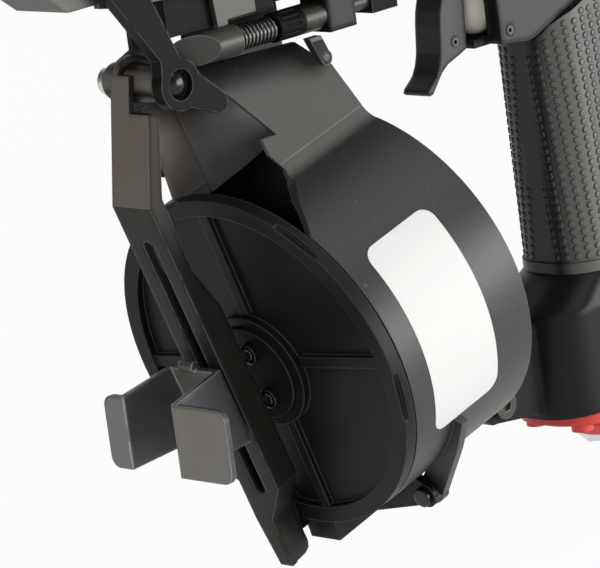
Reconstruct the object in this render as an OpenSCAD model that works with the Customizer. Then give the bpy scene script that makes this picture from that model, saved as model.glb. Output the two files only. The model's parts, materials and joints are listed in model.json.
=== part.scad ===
// Pneumatic coil roofing nailer.
// The drive axis is the X axis and the nose points to -X. The origin is the end face of the
// contact foot. The handle points down, to -Z, and the magazine cover opens to -Y.

/* [Barrel and nose] */
// Outer radius of the cast barrel
barrel_r = 35; // [34:0.5:35]
// Distance from the nose tip to the end of the barrel casting
barrel_end = 250; // [248:1:252]
// Radius of the drive channel in the nose
channel_r = 6; // [5.8:0.1:6.2]
// Travel of the piston and the driver blade
drive_stroke = 78; // [70:1:78]

/* [Drum magazine] */
// Outer radius of the drum shell
drum_r = 62; // [61:0.5:62]
// Depth of the drum along its axis
drum_depth = 64; // [62:1:64]
// Angle between the drum axis and the drive axis
drum_tilt = 15; // [15:0.5:15.5]
// Thickness of the drum's sheet metal
sheet_t = 1.5; // [1.2:0.1:1.8]

/* [Handle] */
// Width of the rubber grip
grip_w = 35; // [34:0.5:36]
// Depth of the rubber grip, front to back
grip_d = 44; // [43:0.5:45]
// Lower end of the grip
grip_low = -154; // [-155:0.5:-153]
// Lower face of the handle foot
foot_low = -203; // [-204:0.5:-202]

/* [Gauge] */
// Width of the gauge bar
bar_w = 18; // [17:0.5:18]
// Thickness of the gauge bar's steel
bar_t = 2.5; // [2:0.1:2.6]
// Height of the shingle gauge's plates
gauge_h = 25; // [24:0.5:26]

/* [Contact spring] */
// Number of curls in the visible spring
spring_curls = 9; // [7:1:10]
// Wire diameter of the visible spring
spring_wire = 0.9; // [0.8:0.1:0.9]

/* [Hidden] */
$fn = 64;
hull_fn = 96;
gap = 0.3;
// Cast housing: front face, end of the cone, chamber start
nose_face = 108;
cone_end = 138;
chamber_x = 120;
chamber_r = 29.5;
bolt_ring = 36.2;
// Contact linkage: place of its axis, radii, and stations along X
rod_y = -13.5;
rod_z = -35.9;
rod_r = 2.8;
sleeve_r = 5.05;
spring_r = 3.95;
sleeve_x = 49.8;
spring_x = 75.1;
dial_x = 92.6;
ring_x = 104.2;
lug_x = 114;
lug_end = 126.5;
// Trigger and valve
trigger_w = 12;
pivot_x = 187;
pivot_z = -41;
lever_x = 184.8;
lever_z = -61.2;
valve_x = 201.5;
valve_r = 8.5;
valve_z = -53.6;
neck_x = 199;
stem_z = -52;
// Handle
grip_x = 222;
grip_t = 3;
inlet_x = 246;
inlet_r = 5.7;
cap_screw_x = [219.5, 261];
cap_t = 4.5;
// Drum: near rim centre, hub, hinge line in drum coordinates (up the disc, towards -Y, depth)
drum_at = [73, -10, -145];
hub_u = -3.5;
hub_w = -4;
function hub_screw_at(side, d) = [-3.1 + side * 8.4, -0.25 - side * 1.15, d];
hinge_u = -61.4;
hinge_w = 30.4;
hinge_r = 2.5;
shell_d = 3.5;
// Chute wall line of the cover: outward normal, its distance, and the fillet into the drum
wall_turn = 27.4;
wall_n = [sin(wall_turn), cos(wall_turn)];
wall_e = [cos(wall_turn), -sin(wall_turn)];
wall_c = 41.9;
fillet_r = 9;
fillet_at = (wall_c + fillet_r) * wall_n
    + sqrt(pow(drum_r + fillet_r, 2) - pow(wall_c + fillet_r, 2)) * wall_e;
fillet_phi = atan2(fillet_at[1], fillet_at[0]);
arc_turn = (90 - wall_turn) - fillet_phi;
function wedge_side(turn) = [cos(fillet_phi + turn), sin(fillet_phi + turn)];
cover_phi = 151;
cover_top = -43.4;
// Gauge bar: centre, top, bend and tilt of its lower leg
bar_y = -4;
bar_top = [36, -40];
bar_bend = [28.8, -82];
bar_tilt = 20;
bar_leg = 146.5;
// Distance of the shingle gauge's base plate from the bar
gauge_off = 3.2;
// Tongue at the bar's lower end: where it starts along the leg, and its near face
tongue_s = 127;
tongue_y = bar_y + 1.2;
pin_x = 44.5;
pin_z = -44;
// Nose arms
arm_y = 14;
arm_t = 5;
far_arm_y = 12.2;
far_arm_t = 2;
// Pivot of the cover's latch
latch_x = 109.5;
latch_z = -49.5;
latch_r = 1.4;
// Feed cylinder
feed_x = 68;
feed_y = 22;

casting = "#2b2c2e";
steel = "#6f7173";
dark_steel = "#3c3d40";
plastic = "#1c1d1f";
rubber = "#202124";

// Shapes that repeat
module rod_along_x(x0, x1, r, y = 0, z = 0)
    translate([x0, y, z])
        rotate([0, 90, 0])
            cylinder(h = x1 - x0, r = r);

module rod_along_y(y0, y1, r, x, z)
    translate([x, y0, z])
        rotate([-90, 0, 0])
            cylinder(h = y1 - y0, r = r);

module rod_along_z(z0, z1, r, x, y = 0)
    translate([x, y, z0])
        cylinder(h = z1 - z0, r = r);

module box(low, high)
    translate(low)
        cube(high - low);

// A profile drawn in X and Z, given thickness from y0 to y1
module plate_y(y0, y1)
    translate([0, y1, 0])
        rotate([90, 0, 0])
            linear_extrude(y1 - y0)
                children();

module round_rect(x0, x1, y_half, r) {
    translate([x0 + r, -y_half])
        square([x1 - x0 - 2 * r, 2 * y_half]);
    translate([x0, r - y_half])
        square([x1 - x0, 2 * (y_half - r)]);
    for (x = [x0 + r, x1 - r], y = [r - y_half, y_half - r])
        translate([x, y])
            circle(r);
}

// Four places on a circle about the drive axis
module on_square(r)
    for (turn = [45:90:315])
        rotate([turn, 0, 0])
            translate([0, 0, r])
                children();

// Socket screw along X, head towards the head_x end
module screw_x(head_x, seat_x, tip_x, head_r, shank_r, key_r) {
    difference() {
        rod_along_x(min(head_x, seat_x), max(head_x, seat_x), head_r);
        translate([head_x, 0, 0])
            rotate([0, 90, 0])
                cylinder(h = abs(seat_x - head_x), r = key_r, center = true, $fn = 6);
    }
    rod_along_x(min(seat_x, tip_x), max(seat_x, tip_x), shank_r);
}

// Drum coordinates: X up the disc, Y towards the viewer's side, Z into the drum
module in_drum()
    translate(drum_at)
        rotate([180, -90 - drum_tilt, 0])
            children();

// Bar coordinates: X down the lower leg, Z towards the drum
module in_bar()
    translate([bar_bend[0], bar_y, bar_bend[1]])
        rotate([0, 90 - bar_tilt, 0])
            children();

module sector(phi0, phi1, r) {
    steps = 8;
    polygon(concat([[0, 0]], [for (i = [0:steps])
        let (phi = phi0 + (phi1 - phi0) * i / steps) 1.2 * r * [cos(phi), sin(phi)]]));
}

module ring_sector(r_in, r_out, phi0, phi1)
    intersection() {
        difference() {
            circle(r_out);
            circle(r_in);
        }
        sector(phi0, phi1, r_out);
    }

// A wound spring along X as one unbroken tube
function coil_path(length, mean_r, curls, wire) =
    let (steps = curls * 8, run = length - 2 * wire)
    concat([[0, mean_r, 0]],
        [for (i = [0:steps]) let (a = 360 * curls * i / steps)
            [wire + run * i / steps, mean_r * cos(a), mean_r * sin(a)]],
        [[length, mean_r, 0]]);
function unit(v) = v / norm(v);
function tube_points(path, r) =
    let (last = len(path) - 1)
    [for (i = [0:last])
        let (t = i == 0 || i == last ? [1, 0, 0] : unit(path[i + 1] - path[i - 1]),
            out = unit([0, path[i][1], path[i][2]]),
            side = unit(cross(t, out)),
            up = cross(side, t))
        for (k = [0:5]) path[i] + r * (cos(60 * k) * up + sin(60 * k) * side)];
function tube_faces(rings) = concat(
    [for (i = [0:rings - 2], k = [0:5]) let (a = 6 * i + k, b = 6 * i + (k + 1) % 6)
        each [[a, b, a + 6], [b, b + 6, a + 6]]],
    [for (k = [1:4]) [0, k + 1, k]],
    [for (k = [1:4]) let (z = 6 * (rings - 1)) [z, z + k, z + k + 1]]);
function least_gap(path, wire) = min([for (i = [0:len(path) - 1], j = [i + 5:1:len(path) - 1])
    norm(path[i] - path[j])]) - wire;

module wound_spring(length, mean_r, curls, wire) {
    path = coil_path(length, mean_r, curls, wire);
    polyhedron(tube_points(path, wire / 2), tube_faces(len(path)), convexity = 10);
}

// Cast housing: barrel, neck, handle core, foot and lugs
module cap_lugs(x0, x1)
    on_square(bolt_ring)
        rod_along_x(x0, x1, 6);

module handle_core() {
    neck = [[neck_x, -64.8], [213.1, -66.5], [217, -65.5], [223.9, -63], [232.5, -59.8],
        [237.4, -57.5], [262, -47], [262, -44], [249, -39], [249, -20], [neck_x, -20]];
    core_w = grip_w / 2 - grip_t;
    plate_y(-core_w, core_w)
        polygon(neck);
    translate([0, 0, grip_low - 3])
        linear_extrude(115)
            round_rect(grip_x + grip_t, grip_x + grip_d - grip_t, core_w, 12);
    hull() {
        translate([0, 0, grip_low - 2])
            linear_extrude(2)
                round_rect(grip_x - 1, grip_x + grip_d + 1, grip_w / 2 + 0.5, 14, $fn = hull_fn);
        translate([0, 0, foot_low])
            linear_extrude(38)
                round_rect(204, 267, 21, 16, $fn = hull_fn);
    }
}

module foot_gusset()
    plate_y(-8, 8)
        difference() {
            union() {
                polygon([[215, -167.6], [203.5, -167.6], [180, -186], [178, -199], [212, -202]]);
                translate([181, -192])
                    circle(6.4);
            }
            polygon([[160, -197], [180, -197.4], [206, -200.6], [220, -202], [220, -212],
                [160, -212]]);
        }

module rod_lug()
    box([lug_x, -18.9, -41.9], [lug_end, -6, -24]);

module trigger_ears()
    for (y = [-9.4, 6.4])
        plate_y(y, y + 3) {
            translate([pivot_x, pivot_z])
                circle(3.8);
            translate([pivot_x - 3.6, pivot_z])
                square([7.2, 12]);
        }

module body_housing() color(casting) difference() {
    union() {
        translate([nose_face, 0, 0])
            rotate([0, 90, 0])
                cylinder(h = cone_end - nose_face, r1 = 28, r2 = barrel_r);
        rod_along_x(nose_face, nose_face + 8, 30);
        rod_along_x(cone_end, barrel_end, barrel_r);
        cap_lugs(barrel_end - 16, barrel_end);
        handle_core();
        foot_gusset();
        rod_lug();
        trigger_ears();
        box([194, -6, -65.6], [204, 6, -62.8]);
    }
    rod_along_x(chamber_x, barrel_end + 1, chamber_r);
    rod_along_x(nose_face - 1, chamber_x + 1, 8);
    on_square(bolt_ring)
        rod_along_x(barrel_end - 12, barrel_end + 1, 3.1);
    on_square(25)
        rod_along_x(nose_face - 1, nose_face + 10, 3.1);
    rod_along_x(lug_x - 1, lug_end + 1, rod_r + gap, rod_y, rod_z);
    rod_along_y(-11, 11, 2.02, pivot_x, pivot_z);
    rod_along_y(-9, 9, 3.1, 183, -191);
    rod_along_z(valve_z - valve_r - 0.2, -36.5, valve_r + 0.05, valve_x);
    rod_along_y(-16, -6, 1.6, 203.7, -60.8);
    rod_along_z(foot_low - 1, -25, 10, inlet_x);
    for (x = cap_screw_x, y = [-11, 11])
        rod_along_z(foot_low - 1, foot_low + 15, 2.5, x, y);
}

module cylinder_sleeve() color("silver") difference() {
    union() {
        rod_along_x(chamber_x, barrel_end - 14, 26);
        rod_along_x(chamber_x, chamber_x + 5, chamber_r - 0.1);
    }
    rod_along_x(chamber_x - 1, barrel_end, 22);
    for (turn = [0:45:315])
        rotate([turn, 0, 0])
            rod_along_z(20, 30, 1.5, chamber_x + 18);
}

module bumper() color(rubber) difference() {
    rod_along_x(chamber_x, chamber_x + 12, 21.8);
    rod_along_x(chamber_x - 1, chamber_x + 13, 7);
}

piston_x = 216;
module piston() color("silver") difference() {
    rod_along_x(piston_x, piston_x + 14, 21.7);
    translate([piston_x + 7, 0, 0])
        rotate([0, 90, 0])
            rotate_extrude()
                translate([18.8, -2])
                    square([4, 4]);
    rod_along_x(piston_x - 1, piston_x + 10, 3.6);
    rod_along_x(piston_x + 9, piston_x + 15, 14);
}

module piston_ring() color(rubber)
    translate([piston_x + 7, 0, 0])
        rotate([0, 90, 0])
            rotate_extrude()
                translate([20.4, 0])
                    circle(1.55);

module driver_blade() color(steel)
    rod_along_x(drive_stroke, piston_x + 9, 3.5);

valve_face = barrel_end - 13.6;
module head_valve() color("ivory") difference() {
    rod_along_x(valve_face, barrel_end + 2, 28.2);
    rod_along_x(valve_face - 1, barrel_end + 3, 10);
    rod_along_x(valve_face + 4, barrel_end + 3, 24);
}

module head_valve_spring() color(steel)
    translate([valve_face + 4.1, 0, 0])
        wound_spring(25.3, 18, 6, 2);

cap_x = barrel_end + 1;
cap_end = cap_x + 23;
module head_cap() color(casting) difference() {
    union() {
        rod_along_x(cap_x, cap_end - 6, barrel_r + 1);
        translate([cap_end - 6, 0, 0])
            rotate([0, 90, 0])
                cylinder(h = 6, r1 = barrel_r + 1, r2 = barrel_r - 5);
        cap_lugs(cap_x, cap_x + 11);
    }
    rod_along_x(cap_x - 1, cap_x + 15, 28.5);
    on_square(bolt_ring) {
        rod_along_x(cap_x - 1, cap_x + 12, 3.1);
        rod_along_x(cap_x + 11, cap_end + 1, 5.2);
    }
    rod_along_x(cap_end - 7, cap_end + 1, 3.1);
    for (turn = [0:60:300])
        rotate([turn, 0, 0])
            rod_along_x(cap_x + 14, cap_end + 1, 3, 0, 12);
}

module cap_gasket() color("#3a2f26") difference() {
    union() {
        rod_along_x(barrel_end, cap_x, barrel_r);
        cap_lugs(barrel_end, cap_x);
    }
    rod_along_x(barrel_end - 1, cap_x + 1, 30);
    on_square(bolt_ring)
        rod_along_x(barrel_end - 1, cap_x + 1, 3.1);
}

module cap_bolts() color(dark_steel)
    on_square(bolt_ring)
        screw_x(cap_x + 17, cap_x + 11, barrel_end - 11, 5, 3, 2.9);

module exhaust_deflector() color(plastic) difference() {
    union() {
        rod_along_x(cap_end + gap, cap_end + 9, 22);
        box([cap_end + gap, -12, 0], [cap_end + 9, 12, 26]);
    }
    difference() {
        rod_along_x(cap_end - 1, cap_end + 6.5, 19.5);
        rod_along_x(cap_end - 1, cap_end + 10, 6);
    }
    box([cap_end - 1, -9.5, 8], [cap_end + 6.5, 9.5, 30]);
    rod_along_x(cap_end - 1, cap_end + 10, 3.1);
}

module deflector_bolt() color(dark_steel)
    screw_x(cap_end + 13.2, cap_end + 9.2, cap_end - 6, 7, 3, 3);

// Nose and contact foot
module nose_body() color(dark_steel) difference() {
    union() {
        box([17, -9, -9], [52, 9, 9]);
        box([50, -arm_y, -13], [101, far_arm_y, 13]);
        rod_along_x(100, nose_face, 30);
        box([50, -10, -30.3], [98, 10, -12]);
    }
    rod_along_x(13, nose_face + 1, channel_r);
    box([22, -5.8, -31], [72, 5.8, 0]);
    on_square(25)
        rod_along_x(99, nose_face + 1, 3.1);
    for (x = [64, 72], side = [-1, 1])
        rod_along_y(min(side * 8, side * 15), max(side * 8, side * 15), 2.1, x, 0);
}

module nose_bolts() color(dark_steel)
    on_square(25)
        screw_x(94, 100, nose_face + 9, 4.8, 3, 2.6);

module contact_foot() color(steel) difference() {
    box([0, -12.5, -12.5], [34, 12.5, 12.5]);
    box([4, -9 - gap, -9 - gap], [35, 9 + gap, 9 + gap]);
    rod_along_x(-1, 5, 6.4);
    box([10, -6.2, -13], [35, 6.2, -5]);
    plate_y(-14, 14) {
        polygon([[-1, 6], [-1, 14], [9, 14]]);
        polygon([[-1, -6], [-1, -14], [9, -14]]);
    }
}

module contact_link() color(steel) difference() {
    plate_y(-12.5, -10.3)
        polygon([[20, -12.5], [34, -12.5], [40, -13.4], [87.8, -13.4], [87.4, -29.1], [74.4, -29.2],
            [74.4, -34], [70, -34], [69.9, -29.4], [69.2, -21.2], [50, -17], [30, -16], [20, -14]]);
    rod_along_x(sleeve_x, spring_x, sleeve_r, rod_y, rod_z);
}

module contact_rod() color(steel)
    rod_along_x(62, 148, rod_r, rod_y, rod_z);

// The sleeve's front end is cut to a long flat towards the viewer's side
module rod_sleeve() color(steel) difference() {
    rod_along_x(sleeve_x, spring_x, sleeve_r, rod_y, rod_z);
    rod_along_x(62, spring_x + 1, rod_r, rod_y, rod_z);
    translate([0, 0, rod_z - 8])
        linear_extrude(16)
            polygon([[sleeve_x - 1, rod_y + 5.6], [sleeve_x + 17.5, rod_y - 7],
                [sleeve_x - 1, rod_y - 7]]);
}

module contact_spring() color("gray")
    translate([spring_x + 0.1, rod_y, rod_z])
        wound_spring(dial_x - spring_x - 0.2, spring_r, spring_curls, spring_wire);
echo(contact_spring_least_gap = least_gap(coil_path(dial_x - spring_x - 0.2, spring_r,
    spring_curls, spring_wire), spring_wire));

module depth_dial() color(plastic) difference() {
    rod_along_x(dial_x, ring_x, sleeve_r, rod_y, rod_z);
    rod_along_x(dial_x - 1, ring_x + 1, rod_r + gap, rod_y, rod_z);
    for (turn = [0:30:330])
        translate([dial_x + 2, rod_y, rod_z])
            rotate([turn, 0, 0])
                rod_along_x(0, 7.4, 0.7, 0, sleeve_r + 0.25);
}

module dial_ring() color(steel) difference() {
    rod_along_x(ring_x, lug_x - 0.2, sleeve_r, rod_y, rod_z);
    rod_along_x(ring_x - 1, lug_x + 1, rod_r + gap, rod_y, rod_z);
}

module link_foot() color(dark_steel) difference() {
    union() {
        box([136, -17.5, -40.2], [148, -9, -34.4]);
        box([136, -9.5, -40.2], [148, 4, -35.7]);
        box([147, -3.6, -38.6], [178, 3.6, -35.7]);
    }
    rod_along_x(135, 149, rod_r, rod_y, rod_z);
}

// Arms that carry the gauge bar
module near_profile() {
    polygon([[14, 8], [14, -3], [20, -10.9], [37.3, -34.8], [pin_x - 8, pin_z], [pin_x, pin_z - 6],
        [pin_x + 3, -39.4], [36.8, -14.4], [38, -8], [78, -8], [78, 8]]);
    translate([pin_x, pin_z])
        circle(8.5);
    polygon([[pin_x + 2, pin_z - 7.8], [59.5, -56.6], [62.5, -50.4], [pin_x + 7, pin_z + 3]]);
    translate([60.2, -53.2])
        circle(3.6);
}

module far_profile() {
    polygon([[pin_x - 2, pin_z + 4], [60, -33], [60, 8], [78, 8], [78, -20], [63, -34],
        [pin_x + 2, pin_z - 4]]);
    translate([pin_x, pin_z])
        circle(4.6);
}

module arm_holes(y0, y1) {
    rod_along_y(y0, y1, 3.05, pin_x, pin_z);
    for (x = [64, 72])
        rod_along_y(y0, y1, 2.1, x, 0);
}

module near_arm() color(dark_steel) difference() {
    plate_y(-arm_y - arm_t, -arm_y)
        near_profile();
    arm_holes(-arm_y - arm_t - 1, -arm_y + 1);
    rod_along_y(-arm_y - arm_t - 1, -arm_y - 2, 5.2, pin_x, pin_z);
}

module far_arm() color(dark_steel) difference() {
    plate_y(far_arm_y, far_arm_y + far_arm_t)
        far_profile();
    arm_holes(far_arm_y - 1, far_arm_y + far_arm_t + 1);
}

module arm_screws() color("black")
    for (x = [64, 72]) {
        translate([x, -arm_y - arm_t, 0])
            rotate([0, 0, -90])
                screw_x(3, 0, -10, 3.8, 2, 2);
        translate([x, far_arm_y + far_arm_t, 0])
            rotate([0, 0, 90])
                screw_x(3, 0, -6, 3.8, 2, 2);
    }

clip_y = far_arm_y + far_arm_t;
// The pin's domed head sits in a recess of the near arm
module gauge_pin() color("black") {
    dome_r = 7;
    rod_along_y(-arm_y - 3, clip_y + 3, 3, pin_x, pin_z);
    intersection() {
        rod_along_y(-arm_y - arm_t, -arm_y - 2, 4.9, pin_x, pin_z);
        translate([pin_x, -arm_y - 4.4 + dome_r, pin_z])
            sphere(dome_r);
    }
}

module pin_sleeve() color(steel) difference() {
    rod_along_y(-arm_y, far_arm_y, 6.3, pin_x, pin_z);
    rod_along_y(-arm_y - 1, far_arm_y + 1, 3.05, pin_x, pin_z);
}

module pin_clip() color("silver") difference() {
    rod_along_y(clip_y, clip_y + 2.2, 4.7, pin_x, pin_z);
    rod_along_y(clip_y - 1, clip_y + 3, 3, pin_x, pin_z);
    box([pin_x - 1, clip_y - 1, pin_z + 1], [pin_x + 1, clip_y + 3, pin_z + 8]);
}

// Gauge bar: a bent channel with a long slot in its web
leg_dir = [sin(bar_tilt), -cos(bar_tilt)];
leg_back = [cos(bar_tilt), sin(bar_tilt)];
bar_end = bar_bend + bar_leg * leg_dir;
near_y = bar_y - bar_w / 2;
far_y = bar_y + bar_w / 2;

module web_profile()
    polygon([bar_top, bar_bend, bar_end, bar_end + bar_t * leg_back,
        bar_bend + bar_t * leg_back + [0.2, 0.5], bar_top + [bar_t, 0]]);

// The flanges are shallow to below the bend, then widen to their full depth
module flange_profile()
    polygon([bar_top + [0.1, -12.7], bar_top + [2.4, -13], bar_bend + [6, 2],
        bar_bend + 27 * leg_dir + 5.4 * leg_back, bar_bend + 45 * leg_dir + 10.2 * leg_back,
        bar_end - 3.4 * leg_dir + 10.2 * leg_back, bar_end - 1.3 * leg_dir + 9.3 * leg_back,
        bar_end - 0.4 * leg_dir + 7.2 * leg_back, bar_end + 1 * leg_back - 0.4 * leg_dir,
        bar_bend + 1 * leg_back]);

// The near flange steps inwards at the lower end, to a narrow tongue
screw_at = [80.8, -205.1];
module near_wall() {
    near = -bar_w / 2;
    inner = tongue_y - bar_y;
    intersection() {
        plate_y(near_y - 1, far_y)
            flange_profile();
        in_bar()
            translate([0, 0, -60])
                linear_extrude(120)
                    polygon([[-60, near], [113, near], [tongue_s, inner], [bar_leg + 1, inner],
                        [bar_leg + 1, inner + bar_t], [tongue_s - 1, inner + bar_t],
                        [112, near + bar_t], [-60, near + bar_t]]);
    }
}

module bar_slot()
    in_bar()
        translate([0, 0, -1])
            linear_extrude(bar_t + 2) {
                translate([16, -2.5])
                    square([97, 5]);
                for (x = [16, 113])
                    translate([x, 0])
                        circle(2.5);
            }

module gauge_bar() color(dark_steel) difference() {
    union() {
        plate_y(near_y, far_y)
            web_profile();
        near_wall();
        plate_y(far_y - bar_t, far_y) {
            flange_profile();
            polygon([bar_top + [-0.4, -12], bar_top + [4.5, -14], [pin_x + 7.6, pin_z - 4],
                [pin_x + 1, pin_z + 8], bar_top + [1, -0.5]]);
            translate([pin_x, pin_z])
                circle(9);
        }
    }
    box([20, near_y - 1, -52], [60, bar_y + 0.5, -30]);
    rod_along_y(bar_y, far_y + 1, 6.35, pin_x, pin_z);
    bar_slot();
    rod_along_y(tongue_y + 1, tongue_y + bar_t + 1, 2.1, screw_at[0], screw_at[1]);
    in_bar() {
        translate([0, 0, -1])
            linear_extrude(bar_t + 2) {
                polygon([[113, -bar_w / 2], [113, -bar_w], [bar_leg + 1, -bar_w],
                    [bar_leg + 1, tongue_y - bar_y], [tongue_s, tongue_y - bar_y]]);
                polygon([[tongue_s, bar_w / 2], [bar_leg + 1, 7], [bar_leg + 1, bar_w],
                    [tongue_s, bar_w]]);
            }
        translate([124, tongue_y - bar_y + bar_t, bar_t])
            cube([30, 10, 20]);
    }
}

module bar_screw() color("black")
    translate([screw_at[0], 6, screw_at[1]])
        rotate([0, 0, 90])
            screw_x(2.4, 0, -7, 3, 2, 1.6);

// Shingle gauge: base on the bar, two wings forwards, each ending in a lip
module gauge_wing(y0, y1, front_x, top_z) {
    base = [for (s = [61.2, 61 + gauge_h + 3.8]) bar_bend + s * leg_dir - (gauge_off + 0.1) * leg_back];
    plate_y(y0, y1)
        polygon([base[0], [front_x, top_z], [front_x, top_z - gauge_h], base[1]]);
}

// Lip with two rounded corners, along Y from the wing's edge
module gauge_lip(x, y, width, side, top_z) {
    r = 4;
    translate([x, y, top_z - gauge_h])
        rotate([90, 0, 90])
            linear_extrude(2)
                mirror([side < 0 ? 1 : 0, 0]) {
                    square([width - r, gauge_h]);
                    translate([0, r])
                        square([width, gauge_h - 2 * r]);
                    for (z = [r, gauge_h - r])
                        translate([width - r, z])
                            circle(r);
                }
}

module shingle_gauge() color("#5d6468") {
    near_wing = bar_y - 10;
    far_wing = bar_y + 10;
    difference() {
        in_bar()
            union() {
                translate([61, -11, -gauge_off - 2])
                    cube([29, 22, 2]);
                // Pad that rides on the bar
                translate([66, -7, -gauge_off])
                    cube([18, 14, gauge_off - 0.2]);
                // Rolled tab on the upper edge
                translate([60.2, -1.5, -gauge_off - 1])
                    rotate([-90, 0, 0])
                        cylinder(h = 6.6, r = 1.9);
            }
        in_bar()
            translate([75, 0, -gauge_off - 3])
                cylinder(h = gauge_off + 4, r = 2.3);
    }
    gauge_wing(near_wing - 2, near_wing, 25, -146.5);
    gauge_wing(far_wing, far_wing + 2, 22.5, -145);
    gauge_lip(24.8, near_wing - 0.5, 24.5, -1, -146.5);
    gauge_lip(22.3, far_wing + 0.5, 9.5, 1, -145);
}

module gauge_clamp() color("black")
    in_bar()
        translate([75, 0, 0]) {
            translate([0, 0, -gauge_off - 4])
                cylinder(h = 2, r = 4);
            translate([0, 0, -gauge_off - 2.2])
                cylinder(h = gauge_off + 7.8, r = 2.2);
            translate([0, 0, bar_t + gap])
                cylinder(h = 3, r = 4, $fn = 6);
        }

// Canister bottom: ribbed disc with a rim, a hub and a foot for the bar
module canister_bottom() color(plastic) {
    foot_w = [-16, -9.7];
    in_drum() {
        difference() {
            union() {
                translate([0, 0, 1])
                    cylinder(h = 2, r = drum_r - 0.2);
                difference() {
                    translate([0, 0, -2])
                        cylinder(h = 4, r = drum_r - 0.2);
                    translate([0, 0, -3])
                        cylinder(h = 6, r = drum_r - 6.2);
                    for (phi = [-22, 37, 97, 217])
                        rotate([0, 0, phi])
                            translate([drum_r - 1.6, -9, -3])
                                cube([4, 18, 3]);
                }
                for (phi = [-5:90:265])
                    rotate([0, 0, phi])
                        translate([18, -2, -1])
                            cube([drum_r - 22, 4, 3]);
                translate([hub_u, hub_w, -2])
                    cylinder(h = 4, r = 20.5);
                translate([-66, foot_w[0], -10.5])
                    cube([13, foot_w[1] - foot_w[0], 12]);
                translate([-69.4, -7.9, -1])
                    cube([10, 13.8, 4]);
                translate([-69.4, -7.9, 2])
                    cube([6.8, 13.8, 17.4]);
            }
            translate([hub_u, hub_w, -3])
                cylinder(h = 2, r = 17.2);
            for (side = [-1, 1])
                translate(hub_screw_at(side, -3))
                    cylinder(h = 7, r = 2.1);
        }
    }
}

module canister_bottom_drilled() color(plastic) difference() {
    canister_bottom();
    rod_along_y(-1, 7, 2.1, screw_at[0], screw_at[1]);
}

module hub_plate() color("black") in_drum() difference() {
    translate([hub_u, hub_w, -3.4])
        cylinder(h = 2.4, r = 17);
    for (side = [-1, 1])
        translate(hub_screw_at(side, -4))
            cylinder(h = 4, r = 2.1);
}

module hub_screws() color("black") in_drum()
    for (side = [-1, 1])
        translate(hub_screw_at(side, -3.4))
            rotate([0, 90, 0])
                screw_x(2.4, 0, -6, 3.6, 2, 1.8);

// Fixed half of the magazine: far shell, end wall and far chute wall
module base_ear()
    difference() {
        union() {
            translate([hinge_u, hinge_w])
                circle(4.6);
            polygon([[-54.5, 28], [-59.2, 15], [-61, 2.5], [-70.6, 3.5], [-63.8, 35.5], [-58.5, 34]]);
        }
        circle(drum_r - 1);
    }

module magazine_base() color(dark_steel) difference() {
    union() {
        in_drum() {
            translate([0, 0, 3])
                linear_extrude(drum_depth - 3)
                    ring_sector(drum_r - 2, drum_r, cover_phi + 2.5, 341);
            translate([0, 0, drum_depth - 3])
                cylinder(h = 3, r = drum_r - 1.5);
            translate([0, 0, 20])
                linear_extrude(3.2)
                    base_ear();
        }
        plate_y(10, 12)
            polygon([[61.8, -90.4], [51.5, -47], [51.5, -16], [98, -16], [98, -31.5], [118, -33],
                [119, -66], [121.5, -74], [96.5, -83], [78, -89.4]]);
        // Second sheet lapped over the first, below the feed window
        plate_y(8.6, 10)
            polygon([[62.7, -52], [76.6, -89], [96, -83], [119, -74], [117, -52]]);
    }
    box([61, 9, -51], [75, 13, -31]);
    in_drum() {
        translate([hub_u, hub_w, drum_depth - 4])
            cylinder(h = 5, r = 4.1);
        translate([hinge_u, hinge_w, 19])
            cylinder(h = 20, r = hinge_r + 0.02);
    }
}

// Hinged cover: near shell, fillet and sloping chute wall, with its hinge knuckles
module cover_section() {
    ring_sector(drum_r - sheet_t, drum_r, fillet_phi, cover_phi);
    lap = 0.1;
    intersection() {
        difference() {
            translate(fillet_at)
                circle(fillet_r + sheet_t - lap);
            translate(fillet_at)
                circle(fillet_r + lap);
        }
        // A wedge a little wider than the arc, so that it runs into the shell and the wall
        polygon([fillet_at, fillet_at - 20 * wedge_side(-3), fillet_at - 20 * wall_n,
            fillet_at - 20 * wedge_side(arc_turn + 3)]);
    }
    wall_foot = fillet_at - fillet_r * wall_n;
    polygon([wall_foot, wall_foot + 46 * wall_e, wall_foot + 46 * wall_e - sheet_t * wall_n,
        wall_foot - sheet_t * wall_n]);
}

// Hinge leaf of the cover, outside the shell
module leaf_section()
    difference() {
        union() {
            translate([hinge_u, hinge_w])
                circle(5);
            polygon([[-52.4, 32.2], [-46.6, 39.6], [-39, 47.2], [-30.4, 53.2], [-33, 56.5],
                [-44.5, 49.2], [-62.4, 35.5], [-58, 27]]);
        }
        circle(drum_r - 0.8);
    }

module magazine_cover() color("#38393a") difference() {
    union() {
        in_drum() {
            translate([0, 0, shell_d])
                linear_extrude(drum_depth - shell_d)
                    cover_section();
            translate([0, 0, 23.5])
                linear_extrude(3.5)
                    leaf_section();
        }
        rod_along_y(-19.2, -13.4, latch_r, latch_x, latch_z);
    }
    in_drum() {
        translate([hinge_u, hinge_w, 10])
            cylinder(h = 30, r = hinge_r + 0.06);
        // Open corner where the nails leave the drum
        translate([0, 80, 0])
            rotate([90, 0, 0])
                linear_extrude(100)
                    polygon([[48, 0], [48, shell_d], [55, 12.4], [58.6, 20.6], [61.2, 22.6], [66.8, 20.8],
                        [72.2, 22.2], [70.8, 28.4], [99, 18], [110, 18], [110, 0]]);
    }
    box([40, -60, cover_top], [140, 40, 0]);
    plate_y(-40, 20)
        polygon([[103.5, -42], [113.5, -52.5], [118, -53.5], [130, -40], [103.5, -40]]);
}

module cover_hinge_pin() color("black") in_drum()
    translate([hinge_u, hinge_w, 0]) {
        translate([0, 0, 18])
            cylinder(h = 2, r = 3.4);
        translate([0, 0, 19])
            cylinder(h = 8.6, r = hinge_r);
    }

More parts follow.
